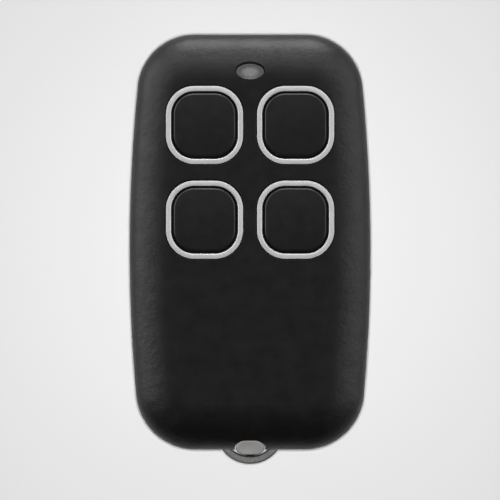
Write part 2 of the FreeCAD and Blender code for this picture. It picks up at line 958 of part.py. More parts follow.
def all_nodes():
    nodes = {
        "front_shell": front_shell(),
        "back_shell": back_shell(),
        "led_lens": led_lens(),
        "status_lamp": status_lamp(),
        "keyring_post": keyring_post(),
        "split_ring": split_ring(),
        "case_screws": case_screws(),
        "circuit_board": circuit_board(),
        "antenna_trace": antenna_trace(),
        "coin_cell": coin_cell(),
        "battery_strap": battery_strap(),
        "battery_contact": battery_contact(),
        "controller_chip": controller_chip(),
        "controller_legs": controller_legs(),
        "crystal_can": crystal_can(),
        "radio_transistor": radio_transistor(),
        "tuning_coil": tuning_coil(),
        "chip_capacitors": chip_capacitors(),
        "chip_resistors": chip_resistors(),
        "switch_terminals": switch_terminals(),
    }
    for place, (x, y) in BUTTONS.items():
        nodes["button_cap_" + place] = button_cap(x, y)
        nodes["button_trim_" + place] = button_trim(x, y)
        nodes["switch_housing_" + place] = switch_housing(x, y)
        nodes["switch_cover_" + place] = switch_cover(x, y)
        nodes["switch_plunger_" + place] = switch_plunger(x, y)
        nodes["switch_dome_" + place] = switch_dome(x, y)
    return nodes


def main():
    os.makedirs("parts", exist_ok=True)
    for name, shape in all_nodes().items():
        solids = len(shape.Solids)
        print(f"{name}: {solids} solid(s), {shape.Volume:.2f} mm3, valid {shape.isValid()}")
        shape.exportStep(f"parts/{name}.step")


main()
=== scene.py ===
# %% [markdown]
# A four-button gate remote, dressed for its portrait.
#
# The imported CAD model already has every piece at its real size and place. This lesson loads it,
# lights it as a product shot from straight above, gives each material its real grain and sheen,
# and remakes the pieces that the eye rests on with softer, moulded edges.
# Everything is in metres: the remote lies on its back on z = 0, its buttons face +Z, the signal
# light is towards +Y and the key ring towards -Y.

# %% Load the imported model
import json
import math

import bmesh
import bpy
from mathutils import Matrix, Vector


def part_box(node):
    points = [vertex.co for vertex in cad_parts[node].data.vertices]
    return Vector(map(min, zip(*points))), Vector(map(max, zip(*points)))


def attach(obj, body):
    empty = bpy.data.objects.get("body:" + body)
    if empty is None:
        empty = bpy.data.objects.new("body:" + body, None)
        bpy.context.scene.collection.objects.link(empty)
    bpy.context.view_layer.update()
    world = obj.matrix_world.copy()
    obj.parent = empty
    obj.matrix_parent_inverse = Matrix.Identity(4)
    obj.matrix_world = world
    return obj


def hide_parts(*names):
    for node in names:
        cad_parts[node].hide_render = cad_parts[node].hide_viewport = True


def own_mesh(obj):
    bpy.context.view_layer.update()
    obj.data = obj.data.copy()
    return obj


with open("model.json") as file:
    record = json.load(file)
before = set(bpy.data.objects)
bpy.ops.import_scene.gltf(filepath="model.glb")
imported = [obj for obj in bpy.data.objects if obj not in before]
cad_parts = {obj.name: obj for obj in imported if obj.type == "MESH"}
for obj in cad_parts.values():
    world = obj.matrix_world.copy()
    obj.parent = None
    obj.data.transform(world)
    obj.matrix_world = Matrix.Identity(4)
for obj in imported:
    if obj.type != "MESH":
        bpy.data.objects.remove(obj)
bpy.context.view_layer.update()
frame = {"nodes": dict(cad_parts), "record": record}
MM = 0.001

# %% [markdown]
# The camera. The photograph looks straight down on the front, with next to no perspective: both
# long sides run as an orthographic view shows them. A real photographer gets that from a long
# lens far away, so the camera stands 2.5 m up with a lens long enough to frame 78.4 mm.

# %% Camera
VIEW_WIDTH = 78.4 * MM
CAMERA_HEIGHT = 2.5
SENSOR = 36.0
AIM = Vector((-0.01 * MM, -1.23 * MM, 8 * MM))

camera_data = bpy.data.cameras.new("camera")
camera_data.sensor_width = SENSOR
camera_data.lens = SENSOR * CAMERA_HEIGHT / VIEW_WIDTH
camera = bpy.data.objects.new("camera", camera_data)
camera.location = AIM + Vector((0, 0, CAMERA_HEIGHT))
bpy.context.scene.collection.objects.link(camera)
bpy.context.scene.camera = camera
bpy.context.scene.view_settings.view_transform = "Standard"
print("lens:", round(camera_data.lens), "mm")

# %% [markdown]
# The light. In the photograph the rounded top edge is the brightest part of the case, both long
# sides are softly lit, the bottom edge is nearly black and the flat face reflects nothing bright.
# So low and half-high soft boxes stand beyond the top edge and on either side, where they are
# moved a little towards the top. Dimmer ones fill the top corners, and none stands at the bottom.
# All of these are there for their reflections alone. One lamp overhead lights the colours and
# the floor evenly, and it stays out of reflections, where a photographer's camera would stand.
# An area lamp's energy is in watts, and its size softens its edge.

# %% Soft boxes
def soft_box(name, azimuth, elevation, distance, width, height, watts):
    """A rectangular lamp that looks at the remote; azimuth is counted from +Y towards +X."""
    turn = math.radians(azimuth)
    lift = math.radians(elevation)
    away = Vector(
        (math.sin(turn) * math.cos(lift), math.cos(turn) * math.cos(lift), math.sin(lift))
    )
    data = bpy.data.lights.new(name, "AREA")
    data.shape = "RECTANGLE"
    data.size = width
    data.size_y = height
    data.energy = watts
    lamp = bpy.data.objects.new(name, data)
    lamp.location = away * distance
    lamp.rotation_mode = "QUATERNION"
    lamp.rotation_quaternion = away.to_track_quat("Z", "Y")
    lamp.visible_camera = False
    bpy.context.scene.collection.objects.link(lamp)
    return lamp


# %% The lamps
# Each box has its azimuth and elevation in degrees, its width and height in metres, and watts.
BOX_DISTANCE = 0.8
EDGE_BOXES = {
    "top_low": (0, 12, 0.6, 0.36, 8.4),
    "top_high": (0, 50, 0.7, 0.4, 2.6),
    "left_low": (-73, 14, 0.7, 0.36, 3.7),
    "left_high": (-73, 42, 0.7, 0.4, 2.5),
    "right_low": (76, 14, 0.75, 0.36, 2.3),
    "right_high": (76, 42, 0.75, 0.4, 2.4),
    "corner_left": (-45, 25, 0.4, 0.6, 0.4),
    "corner_right": (45, 25, 0.4, 0.6, 0.3),
}
OVERHEAD_DISTANCE = 1.2
OVERHEAD_SIZE = 0.08
OVERHEAD_WATTS = 14.2

for name, (azimuth, elevation, width, height, watts) in EDGE_BOXES.items():
    edge_box = soft_box(name, azimuth, elevation, BOX_DISTANCE, width, height, watts)
    edge_box.visible_diffuse = False
overhead = soft_box(
    "overhead", 0, 90, OVERHEAD_DISTANCE, OVERHEAD_SIZE, OVERHEAD_SIZE, OVERHEAD_WATTS
)
overhead.visible_glossy = False

# %% [markdown]
# The sky is a dim studio: a dark grey ceiling, and walls a shade darker still. The ceiling is
# what the flat black face shows, and the dark walls let the soft boxes draw the edges. The pale
# background needs no help from it, because the floor fills the view.

# %% World
CEILING = 0.025
WALLS = 0.02
WALL_TOP = 0.35

world = bpy.data.worlds.new("studio")
world.use_nodes = True
bpy.context.scene.world = world
sky = world.node_tree
direction = sky.nodes.new("ShaderNodeTexCoord")
upwards = sky.nodes.new("ShaderNodeSeparateXYZ")
level = sky.nodes.new("ShaderNodeMapRange")
level.interpolation_type = "SMOOTHSTEP"
level.inputs["From Min"].default_value = WALL_TOP
level.inputs["To Min"].default_value = WALLS
level.inputs["To Max"].default_value = CEILING
sky.links.new(direction.outputs["Generated"], upwards.inputs["Vector"])
sky.links.new(upwards.outputs["Z"], level.inputs["Value"])
sky.links.new(level.outputs["Result"], sky.nodes["Background"].inputs["Color"])
print("sky from", WALLS, "to", CEILING)

# %% [markdown]
# Finishes. Hardly any real surface has one flat colour: a moulded case has a fine spark-eroded
# grain, metal has brush marks, and both vary a little from place to place. Each finish below is
# a Principled shader whose colour, roughness and bump come from noise in Object coordinates.
# Those are metres, so a grain of 0.2 mm is a noise scale of 1 / 0.0002. The first helpers make a
# pattern and turn it into values and colours.

# %% Patterns and colours
def new_finish(name, metallic=0.0, specular=0.5):
    """A material with its Principled shader, ready for its pattern nodes."""
    finish = bpy.data.materials.new(name)
    finish.use_nodes = True
    shader = finish.node_tree.nodes["Principled BSDF"]
    shader.inputs["Metallic"].default_value = metallic
    shader.inputs["Specular IOR Level"].default_value = specular
    return finish


def noise(finish, size, stretch=(1, 1, 1), detail=2.0, roughness=0.5):
    """Noise with features of a real size in metres; stretch makes them longer along an axis."""
    nodes = finish.node_tree.nodes
    links = finish.node_tree.links
    place = nodes.new("ShaderNodeTexCoord")
    scale = nodes.new("ShaderNodeMapping")
    scale.inputs["Scale"].default_value = [1 / (size * s) for s in stretch]
    pattern = nodes.new("ShaderNodeTexNoise")
    pattern.inputs["Scale"].default_value = 1.0
    pattern.inputs["Detail"].default_value = detail
    pattern.inputs["Roughness"].default_value = roughness
    links.new(place.outputs["Object"], scale.inputs["Vector"])
    links.new(scale.outputs["Vector"], pattern.inputs["Vector"])
    return pattern.outputs["Fac"]


def remap(finish, value, low, high, start=0.3, end=0.7):
    """Stretches a pattern's middle range to run from low to high."""
    node = finish.node_tree.nodes.new("ShaderNodeMapRange")
    node.inputs["From Min"].default_value = start
    node.inputs["From Max"].default_value = end
    node.inputs["To Min"].default_value = low
    node.inputs["To Max"].default_value = high
    finish.node_tree.links.new(value, node.inputs["Value"])
    return node.outputs["Result"]


def blend(finish, factor, first, second):
    """Mixes two colours, each a colour value or another node's output."""
    node = finish.node_tree.nodes.new("ShaderNodeMix")
    node.data_type = "RGBA"
    finish.node_tree.links.new(factor, node.inputs["Factor"])
    for socket, colour in (("A", first), ("B", second)):
        if isinstance(colour, bpy.types.NodeSocket):
            finish.node_tree.links.new(colour, node.inputs[socket])
        else:
            node.inputs[socket].default_value = (*colour, 1)
    return node.outputs["Result"]


def grey(level, warm=0.0):
    """A neutral colour; warm above zero leans it towards yellow."""
    return (level * (1 + warm), level, level * (1 - warm))


# %% [markdown]
# Patterns reach the shader by its sockets, and its normal by a stack of bumps, one for each
# pattern. Two more helpers tell a material where it is on the remote. With them one finish can
# change with the height or with the distance from a point, as the painted shade and painted light
# on the post, ring, light pipe and floor do.

# %% Shader sockets, relief and place
def drive(finish, socket, value):
    """Feeds one socket of the Principled shader."""
    shader = finish.node_tree.nodes["Principled BSDF"]
    finish.node_tree.links.new(value, shader.inputs[socket])


def relief(finish, heights, strength=None):
    """Stacks bumps, each a pattern and its depth in metres; strength may fade them by place."""
    below = None
    for pattern, depth in heights:
        bump = finish.node_tree.nodes.new("ShaderNodeBump")
        bump.inputs["Distance"].default_value = depth
        finish.node_tree.links.new(pattern, bump.inputs["Height"])
        if strength:
            finish.node_tree.links.new(strength, bump.inputs["Strength"])
        if below:
            finish.node_tree.links.new(below, bump.inputs["Normal"])
        below = bump.outputs["Normal"]
    drive(finish, "Normal", below)


def by_height(finish, low, high, start, end):
    """A value that runs from low to high between two heights in millimetres."""
    nodes = finish.node_tree.nodes
    place = nodes.new("ShaderNodeTexCoord")
    split = nodes.new("ShaderNodeSeparateXYZ")
    finish.node_tree.links.new(place.outputs["Object"], split.inputs["Vector"])
    return remap(finish, split.outputs["Z"], low, high, start * MM, end * MM)


def distance_from(finish, centre, reach=(1, 1, 1000)):
    """A point's distance from a centre, and its place about it, both in units of reach.

    The centre and reach are in millimetres. The long third reach leaves the height out.
    """
    nodes = finish.node_tree.nodes
    links = finish.node_tree.links
    place = nodes.new("ShaderNodeTexCoord")
    local = nodes.new("ShaderNodeMapping")
    local.vector_type = "TEXTURE"
    local.inputs["Location"].default_value = [v * MM for v in centre]
    local.inputs["Scale"].default_value = [v * MM for v in reach]
    length = nodes.new("ShaderNodeVectorMath")
    length.operation = "LENGTH"
    links.new(place.outputs["Object"], local.inputs["Vector"])
    links.new(local.outputs["Vector"], length.inputs[0])
    return length.outputs["Value"], local.outputs["Vector"]


# %% [markdown]
# The case is moulded in black plastic from a spark-eroded tool. Its grain is a fine stipple of
# 0.2 mm over waves of 0.7 mm and smudges of 2.5 mm, all very shallow, which break up the
# highlights as handling does. The flat front face was stoned smoother than the rounded edges, so
# there the relief fades out with the height. The keys come from a smoother tool.

# %% Case and cap plastic
FRONT_Z = 12.6
FADE_DEEP = 0.5
FADE_SHALLOW = 0.02
SMUDGE_GRAINS = 14
WAVE_GRAINS = 4


def moulded_black(name, specular, tones, gloss, grain, depths, face):
    """A black plastic; grain and the three depths are in millimetres.

    Tones and gloss are the ends of its grey and of its roughness, and face is the share of the
    relief that is left on the flat front.
    """
    finish = new_finish(name, specular=specular)
    smudges = noise(finish, SMUDGE_GRAINS * grain * MM)
    waves = noise(finish, WAVE_GRAINS * grain * MM, detail=3)
    stipple = noise(finish, grain * MM, detail=3)
    drive(finish, "Base Color", blend(finish, remap(finish, smudges, 0, 1), *map(grey, tones)))
    drive(finish, "Roughness", remap(finish, smudges, *gloss))
    strength = by_height(finish, 1, face, FRONT_Z - FADE_DEEP, FRONT_Z - FADE_SHALLOW)
    layers = zip((smudges, waves, stipple), depths)
    relief(finish, [(pattern, depth * MM) for pattern, depth in layers], strength)
    return finish


MOULDED = {
    "case_plastic": {
        "specular": 0.32,
        "tones": (0.0017, 0.0021),
        "gloss": (0.42, 0.48),
        "grain": 0.18,
        "depths": (0.12, 0.04, 0.022),
        "face": 0.04,
    },
    "cap_plastic": {
        "specular": 0.36,
        "tones": (0.0047, 0.0052),
        "gloss": (0.38, 0.42),
        "grain": 0.1,
        "depths": (0.002, 0.001, 0.0015),
        "face": 1,
    },
}
FINISHES = {name: moulded_black(name, **look) for name, look in MOULDED.items()}
print("plastic finishes:", sorted(FINISHES))

# %% [markdown]
# The plainer metals and plastics share one recipe: a broad mottle in the colour, and a fine grain
# that breaks the gloss and roughens the surface a little. Rolled steel has its grain drawn out
# across the remote. Each row of the table gives the colour, how far it strays, the roughness and
# whether it is metal, and where they differ from the usual ones, the grain and its depth in mm.

# %% Plain metals and plastics
MOTTLE = 1.5
GLOSS_SPREAD = 0.2
ACROSS = (12, 1, 1)


def plain_finish(name, colour, spread, rough, metal=0.0, grain=0.1, depth=0.002, along=(1, 1, 1)):
    """A finish with mottled colour, uneven gloss and a fine relief; grain and depth in mm."""
    finish = new_finish(name, metal)
    fine = noise(finish, grain * MM, along, detail=3)
    broad = noise(finish, MOTTLE * MM, detail=3)
    darker = [c * (1 - spread) for c in colour]
    lighter = [c * (1 + spread) for c in colour]
    drive(finish, "Base Color", blend(finish, remap(finish, broad, 0, 1), darker, lighter))
    shinier, duller = rough * (1 - GLOSS_SPREAD), rough * (1 + GLOSS_SPREAD)
    drive(finish, "Roughness", remap(finish, fine, shinier, duller))
    relief(finish, [(fine, depth * MM)])
    return finish


PLAIN = {
    "trim_silver": (grey(0.585), 0.05, 0.4, 0.4, 0.12, 0.003),
    "lamp_white": ((0.8, 0.8, 0.76), 0.05, 0.4),
    "screw_steel": ((0.35, 0.35, 0.36), 0.12, 0.34, 1.0),
    "board_laminate": ((0.02, 0.13, 0.05), 0.2, 0.35),
    "copper": ((0.72, 0.4, 0.22), 0.1, 0.3, 1.0),
    "cell_steel": ((0.62, 0.62, 0.63), 0.05, 0.25, 1.0, 0.1, 0.002, ACROSS),
    "spring_steel": (grey(0.6), 0.05, 0.25, 1.0),
    "chip_plastic": (grey(0.02), 0.2, 0.6, 0.0, 0.06),
    "tinned_metal": (grey(0.66), 0.06, 0.35, 1.0),
    "can_steel": ((0.64, 0.63, 0.6), 0.05, 0.3, 1.0),
    "coil_ferrite": ((0.06, 0.055, 0.05), 0.2, 0.7),
    "capacitor_ceramic": ((0.42, 0.3, 0.19), 0.12, 0.5),
    "resistor_black": ((0.03, 0.03, 0.035), 0.2, 0.3),
    "switch_plastic": (grey(0.03), 0.15, 0.5),
    "switch_steel": (grey(0.6), 0.06, 0.3, 1.0, 0.06, 0.003, ACROSS),
    "plunger_plastic": ((0.1, 0.09, 0.08), 0.12, 0.5),
}
for name, look in PLAIN.items():
    FINISHES[name] = plain_finish(name, *look)
print("with plain finishes:", len(FINISHES))

# %% [markdown]
# The signal light's smoked plastic is lightest at its core. Towards its rim it is darker, a
# painted shade where the hole's walls shade it, but for the lower rim, which has a painted
# highlight where the light that comes from above gathers. Its shoulder under the case is painted
# near black, a painted shade that darkens the gap round the stem. The three tones follow the
# distance from the pipe's middle, the place up or down the window, and the height.

# %% Smoked plastic of the light pipe
LIGHT_CORE = (0.0, 26.65, 0.0)
LIGHT_REACH = (2.2, 1.25, 1000.0)
CORE_TONE = grey(0.205)
CORE_EDGE = (0.38, 0.72)
# Painted shade darkens the rim, and a painted highlight lightens its lower side.
RIM_SHADE_TONE = grey(0.09)
LOWER_RIM_HIGHLIGHT_TONE = grey(0.2)
LOWER_RIM_HIGHLIGHT_SPAN = (-0.85, -0.65)
# The shoulder's near black is painted shade, which darkens the gap round the stem.
SHOULDER_SHADE_TONE = grey(0.01)
SHOULDER_Z = 9.7
SHOULDER_FADE = 0.1

smoked = new_finish("smoked_lens")
off_middle, window = distance_from(smoked, LIGHT_CORE, LIGHT_REACH)
across = smoked.node_tree.nodes.new("ShaderNodeSeparateXYZ")
smoked.node_tree.links.new(window, across.inputs["Vector"])
# A painted highlight on the lower rim, and painted shade towards the rim.
lower_rim_highlight = remap(smoked, across.outputs["Y"], 1, 0, *LOWER_RIM_HIGHLIGHT_SPAN)
rim_shade = blend(smoked, lower_rim_highlight, RIM_SHADE_TONE, LOWER_RIM_HIGHLIGHT_TONE)
toward_rim_shade = remap(smoked, off_middle, 0, 1, *CORE_EDGE)
pipe_tone = blend(smoked, toward_rim_shade, CORE_TONE, rim_shade)
# Painted shade on the shoulder, below its height.
above = by_height(smoked, 0, 1, SHOULDER_Z, SHOULDER_Z + SHOULDER_FADE)
drive(smoked, "Base Color", blend(smoked, above, SHOULDER_SHADE_TONE, pipe_tone))
clouds = noise(smoked, 0.3 * MM, detail=3)
drive(smoked, "Roughness", remap(smoked, clouds, 0.24, 0.32))
relief(smoked, [(clouds, 0.002 * MM)])
FINISHES["smoked_lens"] = smoked
print("light pipe's tones:", [tone[0] for tone in (CORE_TONE, RIM_SHADE_TONE, LOWER_RIM_HIGHLIGHT_TONE)])

# %% [markdown]
# The post is satin nickel. Below the head's rim its colour is a painted shade, near black, for the
# shade on its walls and foot under the head, and the head above stays bright. Its brush marks run
# across the remote.

# %% Satin nickel of the post
BRIGHT_Z = 10.75
BRIGHT_FADE = 0.1
BRIGHT_TONES = (grey(0.37, 0.02), grey(0.41, 0.02))
# The near black below the head's rim is painted shade.
UNDER_HEAD_SHADE = grey(0.03)

nickel = new_finish("satin_nickel", metallic=0.6)
brushed = noise(nickel, 0.06 * MM, ACROSS, detail=3)
clouds = noise(nickel, MOTTLE * MM, detail=3)
bright = blend(nickel, remap(nickel, clouds, 0, 1), *BRIGHT_TONES)
# Painted shade below the head's rim, bright nickel above it.
above_head_shade = by_height(nickel, 0, 1, BRIGHT_Z - BRIGHT_FADE, BRIGHT_Z)
drive(nickel, "Base Color", blend(nickel, above_head_shade, UNDER_HEAD_SHADE, bright))
drive(nickel, "Roughness", remap(nickel, brushed, 0.34, 0.46))
relief(nickel, [(brushed, 0.003 * MM)])
FINISHES["satin_nickel"] = nickel
print("post's metal is bright above", BRIGHT_Z, "mm")

# %% [markdown]
# The ring's spring wire is grey steel with a mottled tone. Its inner and outer rounded edges are
# painted near black, a painted shade where the edges turn from the light and the post's head
# shades the ring, so the wire shows two dark outlines from above.

# %% Spring wire of the ring
RING_CENTRE = (0.0, -29.39, 0.0)
INNER_EDGE = (4.3, 4.5)
OUTER_EDGE = (5.12, 5.3)
UNSHADED_TONES = (grey(0.34, 0.01), grey(0.42, 0.01))
# The near black at both edges of the wire is painted shade.
RING_EDGE_SHADE = grey(0.05)

spring_wire = new_finish("ring_steel", metallic=0.6)
scuffs = noise(spring_wire, 0.08 * MM, detail=3)
clouds = noise(spring_wire, MOTTLE * MM, detail=3)
radius, _ = distance_from(spring_wire, RING_CENTRE)
unshaded = blend(spring_wire, remap(spring_wire, clouds, 0, 1), *UNSHADED_TONES)
# Painted shade on the outer and inner edges of the wire.
outer_shade = remap(spring_wire, radius, 0, 1, *OUTER_EDGE)
inner_shade = remap(spring_wire, radius, 1, 0, *INNER_EDGE)
outer_edge_shaded = blend(spring_wire, outer_shade, unshaded, RING_EDGE_SHADE)
drive(spring_wire, "Base Color", blend(spring_wire, inner_shade, outer_edge_shaded, RING_EDGE_SHADE))
drive(spring_wire, "Roughness", remap(spring_wire, scuffs, 0.22, 0.34))
relief(spring_wire, [(scuffs, 0.0015 * MM)])
FINISHES["ring_steel"] = spring_wire
# Between these radii the wire keeps its own tone, and beyond them it has painted shade.
print("ring is polished between", INNER_EDGE[1], "and", OUTER_EDGE[0], "mm from its axis")

# %% [markdown]
# The pieces inside keep their CAD shapes, because nothing there is soft or worn. Each node takes
# the finish that the record names for it.

# %% Finishes of the carried-over pieces
for part in frame["record"]["subparts"]:
    for own_slot in frame["nodes"][part["node"]].material_slots:
        own_slot.material = FINISHES[part["material_slot"]]
print("finishes:", len(FINISHES))

# %% [markdown]
# Loops and stacks. Caps, trims and the light pipe all have level sections that are rounded
# squares or ovals. The easiest way to such a piece is a stack: one loop of vertices for each
# change of level or size, bridged to the next. A rounded square is a circle whose four quarters
# are moved apart, so every loop has the same count and bridges cleanly.

# %% Loops
QUARTER_STEPS = 20


def loop_edges(verts):
    """The edges that join the given vertices."""
    inside = set(verts)
    around = [edge for vert in verts for edge in vert.link_edges if edge.verts[0] is vert]
    return [edge for edge in around if edge.verts[1] in inside]


def square_loop(form, centre, width, height, radius, z, steps=QUARTER_STEPS):
    """A level loop shaped as a rounded rectangle."""
    turn = Matrix.Rotation(math.radians(45 / steps), 4, "Z")
    made = bmesh.ops.create_circle(form, segments=4 * steps, radius=radius, matrix=turn)
    verts = made["verts"]
    for way_x in (-1, 1):
        for way_y in (-1, 1):
            quarter = [v for v in verts if v.co.x * way_x > 0 and v.co.y * way_y > 0]
            apart = Vector((way_x * (width / 2 - radius), way_y * (height / 2 - radius), 0))
            bmesh.ops.translate(form, verts=quarter, vec=apart)
    bmesh.ops.translate(form, verts=verts, vec=(centre.x, centre.y, z))
    return loop_edges(verts)


def round_loop(form, centre, half_x, half_y, z):
    """A level oval loop; equal halves make a circle."""
    turn = Matrix.Rotation(math.radians(45 / QUARTER_STEPS), 4, "Z")
    made = bmesh.ops.create_circle(form, segments=4 * QUARTER_STEPS, radius=1, matrix=turn)
    bmesh.ops.scale(form, verts=made["verts"], vec=(half_x, half_y, 1))
    bmesh.ops.translate(form, verts=made["verts"], vec=(centre.x, centre.y, z))
    return loop_edges(made["verts"])


# %% [markdown]
# The bridge operator has to find out which way round each loop runs, and two things help it.
# Pieces are built in millimetres and scaled to metres once, when they are finished, so that
# loops never lie too close to tell apart. And two loops on one level are bridged first, while
# neither has a face that could mislead it.

# %% Stacks
def stack(form, loops, closed=False):
    """Bridges each loop to the next, then fills both ends or, if closed, joins them."""
    pairs = list(zip(loops, loops[1:]))
    if closed:
        pairs.append((loops[-1], loops[0]))
    rises = [abs(below[0].verts[0].co.z - above[0].verts[0].co.z) for below, above in pairs]
    for rise, pair in sorted(zip(rises, pairs), key=lambda item: item[0]):
        bmesh.ops.bridge_loops(form, edges=pair[0] + pair[1])
    if not closed:
        bmesh.ops.edgeloop_fill(form, edges=loops[0])
        bmesh.ops.edgeloop_fill(form, edges=loops[-1])


def round_over(radius, steps):
    """Steps round a quarter circle, as (how far in, how far up) pairs from wall to top."""
    turns = [math.radians(90 * i / steps) for i in range(steps + 1)]
    return [(radius * (1 - math.cos(t)), radius * math.sin(t)) for t in turns]


def middle_of(node):
    """The middle of a CAD node's box, in millimetres."""
    low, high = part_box(node)
    return (low + high) / 2 / MM


# %% [markdown]
# Every piece is finished the same way. Its doubles are merged, its normals are made to point
# outwards, and it is scaled to metres. Then it is shown with smooth shading that stops at sharp
# edges, in the place of the CAD nodes that it stands for.

# %% Finishing a piece
SHARP = math.radians(38)
WELD = 0.0005


def finish_piece(form, name, finish, body, *nodes):
    """Closes and scales a bmesh and shows it, riding on a body, in place of CAD nodes."""
    bmesh.ops.remove_doubles(form, verts=form.verts, dist=WELD)
    bmesh.ops.recalc_face_normals(form, faces=form.faces)
    gaps = sum(len(edge.link_faces) != 2 for edge in form.edges)
    volume = form.calc_volume()
    bmesh.ops.scale(form, verts=form.verts, vec=(MM, MM, MM))
    mesh = bpy.data.meshes.new(name)
    form.to_mesh(mesh)
    form.free()
    mesh.shade_smooth()
    mesh.set_sharp_from_angle(angle=SHARP)
    mesh.materials.append(FINISHES[finish])
    piece = bpy.data.objects.new(name, mesh)
    bpy.context.scene.collection.objects.link(piece)
    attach(piece, body)
    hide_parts(*nodes)
    sizes = [round(v / MM, 2) for v in piece.dimensions]
    print(name, sizes, "mm,", round(volume, 2), "mm3,", len(mesh.polygons), "faces,", gaps, "gaps")
    return piece


# %% [markdown]
# The button caps. Each is a thin-walled key with a flat satin face, a softly rounded rim, a skirt
# that guides it in the case, a flange that keeps it in, and a foot that presses the switch. It is
# one stack of loops: up the foot, out under the face, down inside the skirt, round the flange
# and up to the rim.

# %% Button caps
PLACES = ("top_left", "top_right", "bottom_left", "bottom_right")
FACE_Z = 12.9
CAP_WIDTH = 9.67
CAP_HEIGHT = 9.82
CAP_CORNER = 3.26
CAP_RIM = 0.28
CAP_RIM_STEPS = 6
FACE_UNDERSIDE = 11.6
FLANGE_LOW = 10.1
FLANGE_HIGH = 10.8
FLANGE_REACH = 0.75
SKIRT = 0.9
FOOT_RADIUS = 1.5
FOOT_LOW = 9.3
BREAK = 0.1


def button_cap(place):
    """One key, made round the middle of its CAD node."""
    node = "button_cap_" + place
    centre = middle_of(node)
    form = bmesh.new()

    def foot(radius, z):
        return round_loop(form, centre, radius, radius, z)

    def outline(grow, z):
        width = CAP_WIDTH + 2 * grow
        return square_loop(form, centre, width, CAP_HEIGHT + 2 * grow, CAP_CORNER + grow, z)

    loops = [
        foot(FOOT_RADIUS - BREAK, FOOT_LOW),
        foot(FOOT_RADIUS, FOOT_LOW + BREAK),
        foot(FOOT_RADIUS, FACE_UNDERSIDE),
        outline(-SKIRT, FACE_UNDERSIDE),
        outline(-SKIRT, FLANGE_LOW),
        outline(FLANGE_REACH - BREAK, FLANGE_LOW),
        outline(FLANGE_REACH, FLANGE_LOW + BREAK),
        outline(FLANGE_REACH, FLANGE_HIGH - BREAK),
        outline(FLANGE_REACH - BREAK, FLANGE_HIGH),
        outline(0, FLANGE_HIGH),
    ]
    for inwards, upwards in round_over(CAP_RIM, CAP_RIM_STEPS):
        loops.append(outline(-inwards, FACE_Z - CAP_RIM + upwards))
    stack(form, loops)
    finish_piece(form, "key_cap_" + place, "cap_plastic", "button_" + place, node)


for place in PLACES:
    button_cap(place)

# %% [markdown]
# The silver trims. Each is a thin frame that stands a little proud of the face round its key. Its
# two front edges are rounded, and these catch the soft boxes as the fine bright lines that the
# photograph shows. The section is a closed stack, so the last loop joins the first.

# %% Trims
TRIM_WIDTH = 12.15
TRIM_HEIGHT = 12.3
TRIM_CORNER = 4.5
TRIM_BAND = 0.86
TRIM_OUTER = 0.04
TRIM_OUTER_STEPS = 2
TRIM_INNER = 0.2
TRIM_INNER_STEPS = 5
TRIM_DRAFT = 0.05
TRIM_LOWERED = 0.05
TRIM_LOW = 11.5
TRIM_HIGH = 12.75


def button_trim(place):
    """One frame, a hair lower down the face than its CAD node."""
    node = "button_trim_" + place
    centre = middle_of(node) - Vector((0, TRIM_LOWERED, 0))
    form = bmesh.new()

    def outline(inwards, z):
        width = TRIM_WIDTH - 2 * inwards
        height = TRIM_HEIGHT - 2 * inwards
        return square_loop(form, centre, width, height, TRIM_CORNER - inwards, z)

    loops = [outline(0, TRIM_LOW)]
    for inwards, upwards in round_over(TRIM_OUTER, TRIM_OUTER_STEPS):
        loops.append(outline(TRIM_DRAFT + inwards, TRIM_HIGH - TRIM_OUTER + upwards))
    for inwards, upwards in reversed(round_over(TRIM_INNER, TRIM_INNER_STEPS)):
        loops.append(outline(TRIM_BAND - inwards, TRIM_HIGH - TRIM_INNER + upwards))
    loops.append(outline(TRIM_BAND, TRIM_LOW))
    stack(form, loops, closed=True)
    finish_piece(form, "trim_frame_" + place, "trim_silver", "housing", node)


for place in PLACES:
    button_trim(place)

# %% [markdown]
# The snap domes. Under each key's plunger lies a thin disc of spring steel, pressed into a shallow
# cap. It clicks flat as the key goes down, and lifts the key again. Each dome is a piece of its
# own, with a mesh of its own, and rides on the housing. It is a stack that runs down the inside of
# the cap and up its outside.

# %% Snap domes
DOME_RADIUS = 2.3
DOME_HEIGHT = 0.4
DOME_THICK = 0.08
DOME_SHARES = (0.1, 0.3, 0.5, 0.7, 0.85, 1.0)


def snap_dome(place):
    """One dome: two spheres of nearly one size, cut off at the switch's floor."""
    node = "switch_dome_" + place
    low, high = (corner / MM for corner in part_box(node))
    centre = (low + high) / 2
    sphere = (DOME_RADIUS**2 + DOME_HEIGHT**2) / (2 * DOME_HEIGHT)
    below_floor = sphere - DOME_HEIGHT
    form = bmesh.new()
    loops = []
    for ball, shares in ((sphere - DOME_THICK, DOME_SHARES), (sphere, reversed(DOME_SHARES))):
        rim = math.sqrt(ball**2 - below_floor**2)
        for share in shares:
            rise = math.sqrt(ball**2 - (share * rim) ** 2) - below_floor
            loops.append(round_loop(form, centre, share * rim, share * rim, low.z + rise))
    stack(form, loops)
    dome = finish_piece(form, "snap_dome_" + place, "spring_steel", "housing", node)
    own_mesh(dome)


for place in PLACES:
    snap_dome(place)

# %% [markdown]
# The signal light. Its light pipe is smoked plastic: an oval stem with a shallow dish for a face,
# and a flange that holds it under the case's collar. The dish leans its lower side to the light,
# so that side is the brighter one. The stem sits low in its hole, which leaves a crescent above
# it, where the shoulder's painted shade shows dark.

# %% Light pipe
LIGHT_LOW = 8.7
LIGHT_HIGH = 12.16
LIGHT_FLANGE_X = 2.85
LIGHT_FLANGE_Y = 2.0
LIGHT_FLANGE_HIGH = 9.5
STEM_X = 2.19
STEM_Y = 1.19
STEM_LOWERED = 0.15
DISH = 0.12
DISH_RIM = 0.08
DISH_RIM_STEPS = 3
DISH_SHARES = (0.85, 0.7, 0.55, 0.4, 0.25, 0.1)

